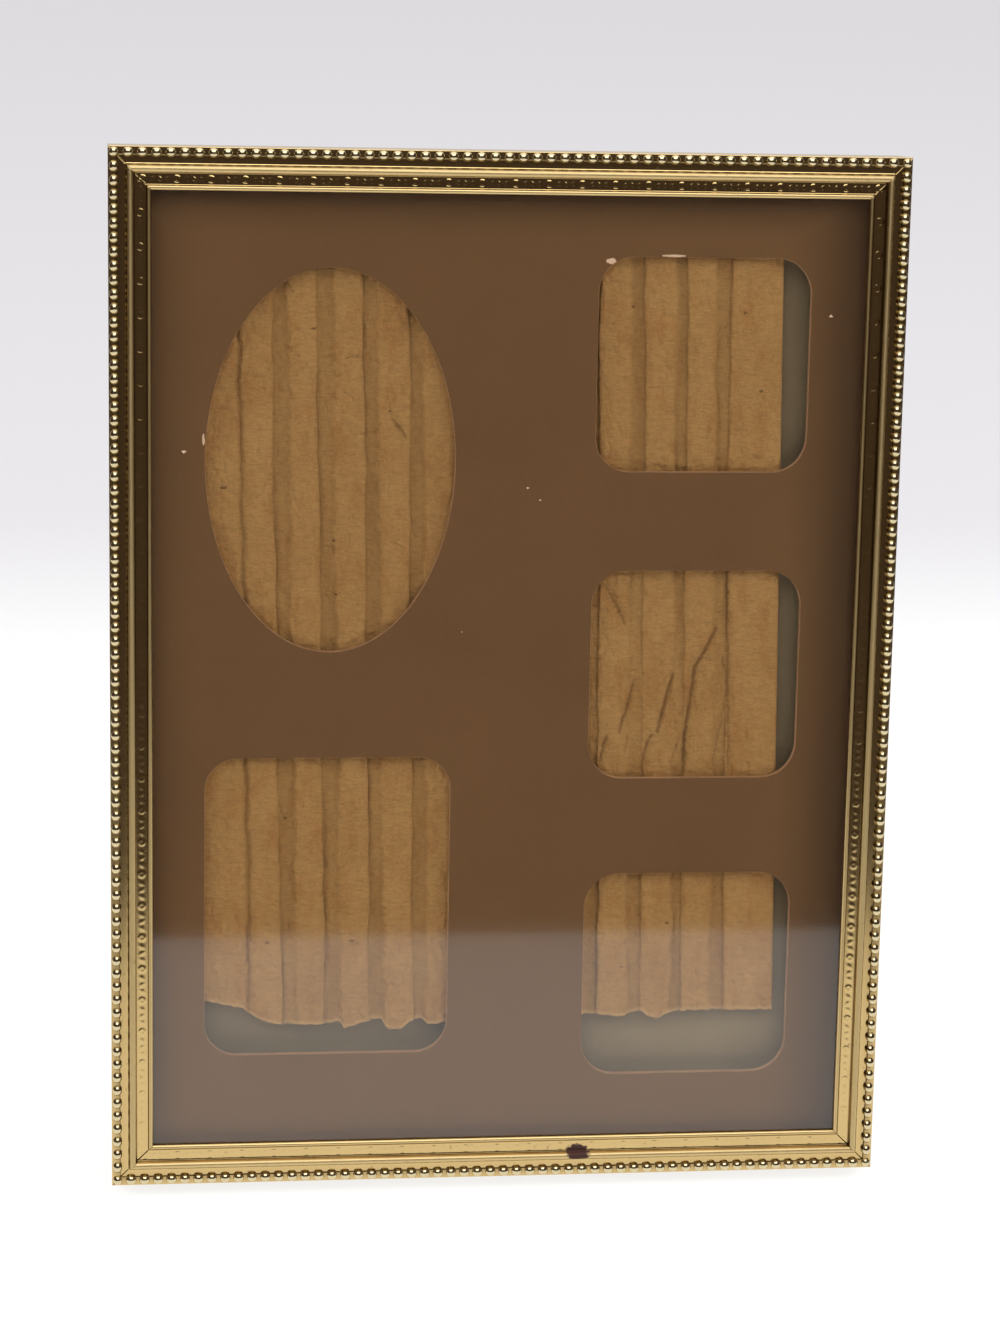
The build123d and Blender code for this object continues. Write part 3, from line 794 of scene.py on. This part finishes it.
def beaded_rail(name, node, quarter_turns, outer, sight_away, own_corners, finish):
    """One mitred rail with its band and beads, drawn as the lower rail and turned into place. Two of
    the rails own the beads at the frame's corners."""
    across, rise, rubbed, gritty = rail_section()
    sight = outer - 2 * RAIL_FACE
    stations = np.linspace(-1, 1, round(outer / RAIL_STEP))[:, None]
    along = stations * (sight / 2 + across)[None, :]
    in_band = (across > LIP_W) & (across < LIP_W + BAND_W)
    pattern = np.where(in_band[None, :], pressed_pattern(along, across[None, :] + 0 * along), 0)
    down = -(sight_away + across)[None, :] + 0 * along
    pieces = [np.stack((along, -rise[None, :] + 0 * along, down), -1).reshape(-1, 3)]
    bare = len(pieces[0])
    columns = len(across)
    rows = len(stations)
    faces = grid_faces(rows, columns, closed=True)
    faces.append(tuple(range(columns)))
    faces.append(tuple(range((rows - 1) * columns, rows * columns)))

    ball, ball_faces = bead_ball()
    inset = BEAD_R - BEAD_OVERHANG + BEAD_SET_IN
    run = outer - 2 * inset
    gaps = round(run / BEAD_PITCH)
    first = 0 if own_corners else 1
    count = bare
    depth = BEAD_R * BEAD_DEEP - BEAD_RISE
    for step in range(first, gaps + 1 - first):
        middle = (run * (step / gaps - 0.5), depth, inset - sight_away - RAIL_FACE)
        long = 1 if step in (0, gaps) else BEAD_LONG
        pieces.append(np.array(middle) + ball * (long, -BEAD_DEEP, 1))
        faces += [tuple(count + corner for corner in face) for face in ball_faces]
        count += len(ball)
    points = np.concatenate(pieces)
    for _ in range(quarter_turns):
        points = np.stack((points[:, 2], points[:, 1], -points[:, 0]), -1)
    height = smooth_step(0, SIGHT_H / 2, points[:bare, 2])
    crisp = PRESSED_LOW + (PRESSED_HIGH - PRESSED_LOW) * height
    points[:bare, 1] -= crisp * pattern.reshape(-1)
    beads = len(pieces) - 1
    low = smooth_step(0.3 * BEAD_R, -0.5 * BEAD_R, ball[:, 1])
    marks = {
        "worn": np.concatenate((np.tile(EDGE_WORN * rubbed, rows), np.ones(count - bare))),
        "rubbed": np.concatenate((np.tile(rubbed, rows), np.full(count - bare, BEAD_RUBBED))),
        "gritty": np.concatenate((np.tile(gritty, rows), np.tile(BEAD_GRIT * low, beads))),
    }
    settle(shell(name, points, faces, marks), [finish], "rail_brass", node)


def rounded_window(x, z, width, height, radius):
    """Outline of a window with round corners."""
    points = []
    for corner, (side, level) in enumerate(((1, 1), (-1, 1), (-1, -1), (1, -1))):
        middle_x = x + side * (width / 2 - radius)
        middle_z = z + level * (height / 2 - radius)
        for step in range(CORNER_STEPS + 1):
            turn = math.pi / 2 * (corner + step / CORNER_STEPS)
            points.append((middle_x + radius * math.cos(turn), middle_z + radius * math.sin(turn)))
    return points


def mat_outlines():
    """The mat's outer edge and its five windows."""
    left = -SIGHT_W / 2 + SIDE_MARGIN + LEFT_W / 2
    right = SIGHT_W / 2 - SIDE_MARGIN - RIGHT_W / 2
    oval = SIGHT_H / 2 - LEFT_TOP_MARGIN - OVAL_H / 2
    tall_h = SIGHT_H - LEFT_TOP_MARGIN - OVAL_H - LEFT_GAP - LEFT_BOTTOM_MARGIN
    tall = oval - OVAL_H / 2 - LEFT_GAP - tall_h / 2
    gaps = (SMALL_COUNT - 1) * RIGHT_GAP
    small_h = (SIGHT_H - RIGHT_TOP_MARGIN - RIGHT_BOTTOM_MARGIN - gaps) / SMALL_COUNT
    edge = [(MAT_LOW[0], MAT_LOW[2]), (MAT_HIGH[0], MAT_LOW[2])]
    edge += [(MAT_HIGH[0], MAT_HIGH[2]), (MAT_LOW[0], MAT_HIGH[2])]
    round_window = [
        (left + LEFT_W / 2 * math.cos(turn), oval + OVAL_H / 2 * math.sin(turn))
        for turn in np.linspace(0, 2 * math.pi, OVAL_STEPS, endpoint=False)
    ]
    outlines = [edge, round_window, rounded_window(left, tall, LEFT_W, tall_h, TALL_R)]
    for row in range(SMALL_COUNT):
        level = SIGHT_H / 2 - RIGHT_TOP_MARGIN - small_h / 2 - row * (small_h + RIGHT_GAP)
        outlines.append(rounded_window(right, level, RIGHT_W, small_h, SMALL_R))
    return outlines


def windowed_mat():
    """The mat with softened cut edges, pale where it is cut."""
    drawing = bpy.data.curves.new("mat_drawing", "CURVE")
    drawing.dimensions = "2D"
    drawing.fill_mode = "BOTH"
    drawing.extrude = (MAT_HIGH[1] - MAT_LOW[1] - MAT_AIR) / 2 - MAT_SOFT
    drawing.bevel_depth = MAT_SOFT
    drawing.bevel_resolution = 2
    drawing.offset = -MAT_SOFT
    for outline in mat_outlines():
        spline = drawing.splines.new("POLY")
        spline.points.add(len(outline) - 1)
        for point, (x, z) in zip(spline.points, outline):
            point.co = (x, z, 0, 1)
        spline.use_cyclic_u = True
    drawn = link(bpy.data.objects.new("mat_drawing", drawing))
    mesh = bpy.data.meshes.new_from_object(drawn)
    bpy.data.objects.remove(drawn)
    flat = np.array([vertex.co for vertex in mesh.vertices])
    middle = (MAT_HIGH[1] + MAT_LOW[1] + MAT_AIR) / 2
    points = np.stack((flat[:, 0], middle - flat[:, 2], flat[:, 1]), -1)
    piece = shell("windowed_mat", points, [tuple(face.vertices) for face in mesh.polygons])
    settle(piece, [mat_paper(), mat_core()], "brown_mat", "mat_board")
    back = (PANEL.to_3x3() @ Vector((0, 1, 0))).normalized()
    for face in piece.data.polygons:
        level = abs(face.normal.dot(back))
        face.material_index = 0 if level > 0.95 else 1
        face.use_smooth = False


def torn_sheet(name, across, rows, thickness, lift, front_of):
    """A thin sheet of the filler's outline: front_of gives its face from columns set across it."""
    ends = np.array(TEAR)
    low = np.interp(across, ends[:, 0], ends[:, 1]) + lift
    low = low + TEAR_RAGGED * wander(across, 1.0, 2.6)
    share = np.linspace(0, 1, rows)[:, None] ** 1.15
    z = low[None, :] + (FILLER_TOP - low)[None, :] * share
    x, depth, marks = front_of(z)
    marks["torn"] = smooth_step(TEAR_PALE, 0.1, z - low[None, :])
    turned_x, turned_z = filler_place(x, z)
    front = np.stack((turned_x, depth, turned_z), -1).reshape(-1, 3)
    points = np.concatenate((front, front + (0, thickness, 0)))
    columns = len(across)
    count = rows * columns
    faces = grid_faces(rows, columns) + grid_faces(rows, columns, first=count)
    edge = list(range(columns)) + [row * columns + columns - 1 for row in range(1, rows)]
    edge += [(rows - 1) * columns + column for column in range(columns - 2, -1, -1)]
    edge += [row * columns for row in range(rows - 2, 0, -1)]
    for here, there in zip(edge, edge[1:] + edge[:1]):
        faces.append((here, there, count + there, count + here))
    doubled = {mark: np.tile(values.reshape(-1), 2) for mark, values in marks.items()}
    return shell(name, points, faces, doubled)


def crease_at(x, z, line, half_width):
    """How deep a crease lies at each point, from 0 to 1."""
    deep = np.zeros_like(x)
    length = sum(math.dist(here, there) for here, there in zip(line, line[1:]))
    passed = 0
    for (from_x, from_z), (to_x, to_z) in zip(line, line[1:]):
        run = math.dist((from_x, from_z), (to_x, to_z))
        ahead = ((x - from_x) * (to_x - from_x) + (z - from_z) * (to_z - from_z)) / run
        ahead = np.clip(ahead, 0, run)
        near_x = from_x + (to_x - from_x) * ahead / run
        near_z = from_z + (to_z - from_z) * ahead / run
        away = np.hypot(x - near_x, z - near_z) / half_width
        ends = np.minimum(passed + ahead, length - passed - ahead)
        fade = 0.25 + 0.75 * smooth_step(0, 2.5, ends)
        deep = np.maximum(deep, fade * np.exp(-2 * away ** 2))
        passed += run
    return deep


def steep_on_left(crest):
    """Crests are steep on the side towards the middle of the frame, and gentle on the other."""
    left, right = CRESTS[crest]
    return left + right > 0


def flute_lines():
    """Lines down the flutes: X, the two crest edges that each follows, its share of the second, its
    depth from 0 to 1, and how dark its painted fold shadow is."""
    lines = []
    for crest, (left, right) in enumerate(CRESTS):
        steep_left = steep_on_left(crest)
        # Painted shadow at the folds: dark at the foot of a steep slope, faint on a gentle one
        left_w, left_shadow = (STEEP_W, 0.7) if steep_left else (GENTLE_W, 0.2)
        right_w, right_shadow = (GENTLE_W, 0.15) if steep_left else (STEEP_W, 0.6)
        edge = 2 * crest
        for share in np.linspace(1, 0, SLOPE_LINES, endpoint=False):
            lines.append((left - left_w * share, edge, edge, 0, share, left_shadow * share))
        for share in np.linspace(0, 1, round((right - left) / CREST_STEP)):
            lines.append((left + (right - left) * share, edge, edge + 1, share, 0, 0))
        if crest + 1 == len(CRESTS):
            break
        sunk = 0 if crest in PRESSED_FLAT else 1
        for share in np.linspace(0, 1, SLOPE_LINES + 1)[1:]:
            dark = right_shadow * share * sunk
            lines.append((right + right_w * share, edge + 1, edge + 1, 0, share * sunk, dark))
        start = right + right_w
        end = CRESTS[crest + 1][0] - (STEEP_W if steep_on_left(crest + 1) else GENTLE_W)
        for share in (0.15, 0.5, 0.85):
            x = start + (end - start) * share
            lines.append((x, edge + 1, edge + 2, share, sunk or share ** 3, 0))
    inside = [line for line in lines if FILLER_LEFT + 0.05 < line[0] < FILLER_RIGHT - 0.05]
    first = (FILLER_LEFT, *inside[0][1:])
    last = (FILLER_RIGHT, *inside[-1][1:])
    return np.array([first, *inside, last]).T


def fluted_face(z):
    """X, depth and marks of the fluted paper's face, with valleys, folds, lumps and wrinkles, and
    painted shade.
    """
    across, first_edge, second_edge, share, sunk, fold = flute_lines()[:, None, :] + 0 * z
    steep_left = [steep_on_left(crest) for crest in range(len(CRESTS))]
    steep = np.array([side for left in steep_left for side in (left, not left)])
    shift = 0
    for edge, part in ((first_edge, 1 - share), (second_edge, share)):
        crinkle = np.where(steep[edge.astype(int)], 0.3, 1)
        crinkle = crinkle * (0.32 * wander(z, edge + 40, 0.5) + 0.16 * wander(z, edge + 80, 1.7))
        shift = shift + part * (0.35 * wander(z, edge, 0.09) + crinkle)
    ends = np.minimum(across - FILLER_LEFT, FILLER_RIGHT - across)
    x = across + shift * smooth_step(0, 2.5, ends)
    open_share = np.clip(0.85 + 0.35 * wander(z, second_edge + 5, 0.07), 0.4, 1)
    crushed_x = (x - CRUSHED_AT[0]) / CRUSHED_REACH[0]
    crushed_z = (z - CRUSHED_AT[1]) / CRUSHED_REACH[1]
    crushed = np.exp(-(crushed_x ** 2) - crushed_z ** 2)
    valley = smooth_step(0, 1, sunk) * open_share * (1 - 0.6 * crushed)
    depth = FLUTES_LOW[1] + FLUTE_DROP * valley
    # Painted shadow at the folds, and further down along the pressed creases
    fold_shadow = fold * (0.75 + 0.35 * wander(z, first_edge + 17, 0.23)) * (1 - 0.75 * crushed)
    for line, deep, half_width in CREASES:
        here = crease_at(x, z, line, half_width)
        depth = depth + deep * here * (1 - 0.6 * valley)
        fold_shadow = np.maximum(fold_shadow, 0.35 * here * deep)
    spots = [Vector((a * 0.22, b * 0.3, 0.0)) for a, b in zip(x.flat, z.flat)]
    finer = [Vector((spot.x * 1.6, spot.y * 6, 4.0)) for spot in spots]
    lumps = np.array([noise.noise(spot) for spot in spots]).reshape(x.shape)
    wrinkles = np.array([noise.noise(spot) for spot in finer]).reshape(x.shape)
    depth = depth + 0.16 * (lumps + 1) / 2 + 0.07 * (wrinkles + 1) / 2
    depth = np.clip(depth, FLUTES_LOW[1], FLUTES_HIGH[1] - PAPER_T)
    return x, depth, {"valley": valley, "crease": np.clip(fold_shadow, 0, 1)}


def torn_filler():
    """The fluted paper and, a little shorter, the flat paper behind it."""
    kraft = kraft_paper()
    flutes = torn_sheet("torn_flutes", flute_lines()[0], FLUTE_ROWS, PAPER_T, 0, fluted_face)
    settle(flutes, [kraft], "kraft_paper", "filler_flutes")
    across = np.linspace(FILLER_LEFT, FILLER_RIGHT, LINER_COLUMNS)

    def liner_face(z):
        bare = 0 * z
        # The liner takes the full painted valley shade, and no painted fold shadow
        return across[None, :] + bare, LINER_LOW[1] + bare, {"valley": bare + 1, "crease": bare}

    thickness = LINER_HIGH[1] - LINER_LOW[1]
    liner = torn_sheet("torn_liner", across, LINER_ROWS, thickness, LINER_SHORT, liner_face)
    settle(liner, [kraft], "kraft_paper", "filler_liner")


def dust_on_glass():
    """Small ragged specks that lie on the glass."""
    points = []
    faces = []
    for index, (x, z, size) in enumerate(DUST):
        first = len(points)
        for reach, height in DUST_RINGS:
            for step in range(DUST_SIDES):
                turn = 2 * math.pi * step / DUST_SIDES
                ragged = 1 + 0.4 * math.sin(3 * turn + index) + 0.2 * math.cos(5 * turn)
                away = size / 2 * reach * ragged
                up = z + 0.7 * away * math.sin(turn)
                points.append((x + away * math.cos(turn), GLASS_LOW[1] - height, up))
        faces += grid_faces(len(DUST_RINGS), DUST_SIDES, first=first, closed=True)
        last = len(points)
        faces.append(tuple(range(first, first + DUST_SIDES)))
        faces.append(tuple(range(last - DUST_SIDES, last)))
    settle(shell("dust_on_glass", np.array(points), faces), [dust_finish()], "kraft_paper")


def finish_nodes(finish, *names):
    """Gives CAD nodes that stay as they are a finish."""
    for name in names:
        for slot in frame["nodes"][name].material_slots:
            slot.material = finish


def stage():
    """The floor, and dark screens in front and at the sides that show in reflections alone."""
    turns = np.linspace(0, 2 * math.pi, FLOOR_SIDES, endpoint=False)
    rim = [(FLOOR_R * math.cos(turn), FLOOR_R * math.sin(turn), 0) for turn in turns]
    floor = bpy.data.meshes.new("pale_floor")
    floor.from_pydata(rim, [], [tuple(range(len(rim)))])
    floor.materials.append(floor_finish())
    link(bpy.data.objects.new("pale_floor", floor))

    line = [(-SCREEN_HALF_W, SCREEN_BACK), (-SCREEN_HALF_W, SCREEN_FRONT)]
    line += [(SCREEN_HALF_W, SCREEN_FRONT), (SCREEN_HALF_W, SCREEN_BACK)]
    points = [(x, y, z) for z in (0, SCREEN_H) for x, y in line]
    cloth = bpy.data.meshes.new("dark_screens")
    cloth.from_pydata(points, [], grid_faces(2, len(line)))
    cloth.materials.append(screen_finish())
    screens = link(bpy.data.objects.new("dark_screens", cloth))
    screens.visible_camera = False
    screens.visible_diffuse = False
    screens.visible_transmission = False
    screens.visible_shadow = False


def softbox(name, place, width, height, power, mirrored):
    lamp = bpy.data.lights.new(name, "AREA")
    lamp.shape = "RECTANGLE"
    lamp.size = width
    lamp.size_y = height
    lamp.energy = power
    box = link(bpy.data.objects.new(name, lamp))
    box.location = place
    box.rotation_euler = (Vector(LAMP_AIM) - Vector(place)).to_track_quat("-Z", "Y").to_euler()
    box.visible_glossy = mirrored


def lights():
    """Soft lights above and in front, and one at each side for the matt pieces, in a dim room."""
    for lamp in LAMPS:
        softbox(*lamp)
    world = Finish(bpy.data.worlds.new("dim_room"))
    height = world.axis(world.node("TexCoord", output="Generated"), "Z")
    upwards = world.rise(height, 0.1, 0.8)
    dim = world.mix(upwards, (0.066, 0.048, 0.042, 1), (0.25, 0.25, 0.25, 1))
    sky = world.mix(seen_by(world), dim, BACKGROUND)
    world.output(world.node("Background", {}, {"Color": sky, "Strength": 1.0}), "OutputWorld")
    bpy.context.scene.world = world.block


def camera():
    """The camera at the photograph's place, worked out in the panel's axes."""
    flat = math.cos(CAMERA_LIFT)
    across = math.sin(CAMERA_TURN) * flat
    back = Vector((across, -math.cos(CAMERA_TURN) * flat, math.sin(CAMERA_LIFT)))
    right = (-back).cross(Vector((0, 0, 1))).normalized()
    axes = Matrix((right, back.cross(right), back)).transposed()
    axes = axes @ Matrix.Rotation(CAMERA_ROLL, 3, "Z")
    turned = (PANEL.to_3x3().normalized() @ axes).to_4x4()
    lens = bpy.data.cameras.new("camera")
    lens.sensor_fit = "HORIZONTAL"
    lens.sensor_width = CAMERA_SENSOR
    lens.lens = CAMERA_LENS
    lens.clip_start = 0.01
    eye = link(bpy.data.objects.new("camera", lens))
    place = PANEL @ (Vector(CAMERA_AIM) + CAMERA_DISTANCE * back)
    eye.matrix_world = Matrix.Translation(place) @ turned
    bpy.context.scene.camera = eye


def build():
    bright = colour(212, 183, 125)
    worn = colour(212, 196, 156)
    grime = colour(70, 50, 27)
    rail_brass = pressed_brass("rail_brass", bright, worn, grime)
    stained_brass = pressed_brass("stained_rail_brass", bright, worn, grime, RAIL_STAIN)
    beaded_rail("beaded_rail_bottom", "rail_bottom", 0, OUTER_W, SIGHT_H / 2, True, stained_brass)
    beaded_rail("beaded_rail_left", "rail_left", 1, OUTER_H, SIGHT_W / 2, False, rail_brass)
    beaded_rail("beaded_rail_top", "rail_top", 2, OUTER_W, SIGHT_H / 2, True, rail_brass)
    beaded_rail("beaded_rail_right", "rail_right", 3, OUTER_H, SIGHT_W / 2, False, rail_brass)
    windowed_mat()
    torn_filler()
    dust_on_glass()

    finish_nodes(clear_glass(), "glass_pane")
    finish_nodes(grey_card(), "backing_card")
    finish_nodes(easel_paper(), "easel_back", "easel_strut")
    sides = ("left", "right")
    corners = [f"corner_bracket_{level}_{side}" for level in ("bottom", "top") for side in sides]
    finish_nodes(rail_brass, *corners)
    buttons = [f"turn_button_{level}_{side}" for level in ("upper", "lower") for side in sides]
    hinge = ("hinge_fixed_leaf", "hinge_moving_leaf", "hinge_pin")
    finish_nodes(plated_steel(), *buttons, *hinge, "hanger_strap", "hanger_ring")
    rivet_brass = pressed_brass("rivet_brass", colour(196, 166, 104), worn, grime)
    finish_nodes(rivet_brass, "turn_button_rivets", "hanger_strap_rivet")
    finish_nodes(rivet_brass, "hinge_back_rivets", "hinge_strut_rivets")
    stage()
    lights()
    camera()


build()
bpy.context.scene.view_settings.view_transform = "Standard"
